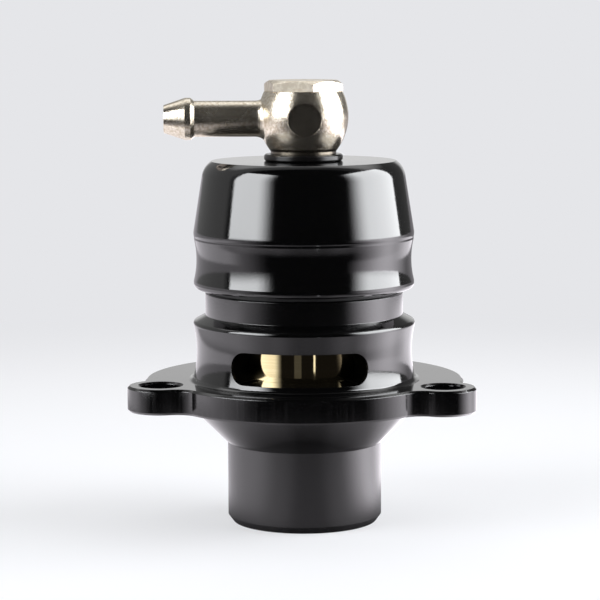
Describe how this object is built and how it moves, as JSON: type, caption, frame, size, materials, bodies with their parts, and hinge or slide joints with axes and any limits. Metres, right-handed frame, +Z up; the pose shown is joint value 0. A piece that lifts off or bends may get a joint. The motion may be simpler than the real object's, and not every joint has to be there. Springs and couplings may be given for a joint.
{
  "type": "blow off valve",
  "caption": "Turbo blow off valve: flanged black body with a vent slot, domed screw cap, sprung brass piston and a swivelling banjo hose barb on top.",
  "frame": {"origin": "on the valve's axis, at the spigot's open end, the plane that the valve stands on", "axes": "+Z up the valve's axis towards the hose fitting, -Y towards the vent slot, -X about along the hose barb at rest"},
  "size_m": [0.0556, 0.0478, 0.0715],
  "materials": {
    "black_anodised": "gloss black anodised",
    "seal_rubber": "moulded",
    "piston_brass": "polished",
    "guide_plastic": "satin",
    "spring_steel": "drawn wire",
    "washer_black": "gloss",
    "bright_nickel": "bright nickel plate"
  },
  "bodies": {
    "housing": {"valve_body": "black_anodised", "cap": "black_anodised", "cap_seal": "seal_rubber", "spring": "spring_steel", "lower_washer": "washer_black", "banjo_bolt": "bright_nickel"},
    "piston_set": {"piston": "piston_brass", "piston_seal": "seal_rubber", "guide_ring": "guide_plastic", "seat_seal": "seal_rubber"},
    "banjo": {"banjo_fitting": "bright_nickel", "banjo_seal": "seal_rubber"}
  },
  "joints": [
    {"name": "piston_lift", "type": "slide", "parent": "housing", "child": "piston_set", "axis": [0, 0, 1], "range_m": [0, 0.008], "stiffness_N_per_m": 800, "springref_m": -0.004, "deforming": ["spring"]},
    {"name": "banjo_swivel", "type": "hinge", "parent": "housing", "child": "banjo", "pos_m": [0, 0, 0.0654], "axis": [0, 0, 1], "continuous": true}
  ]
}
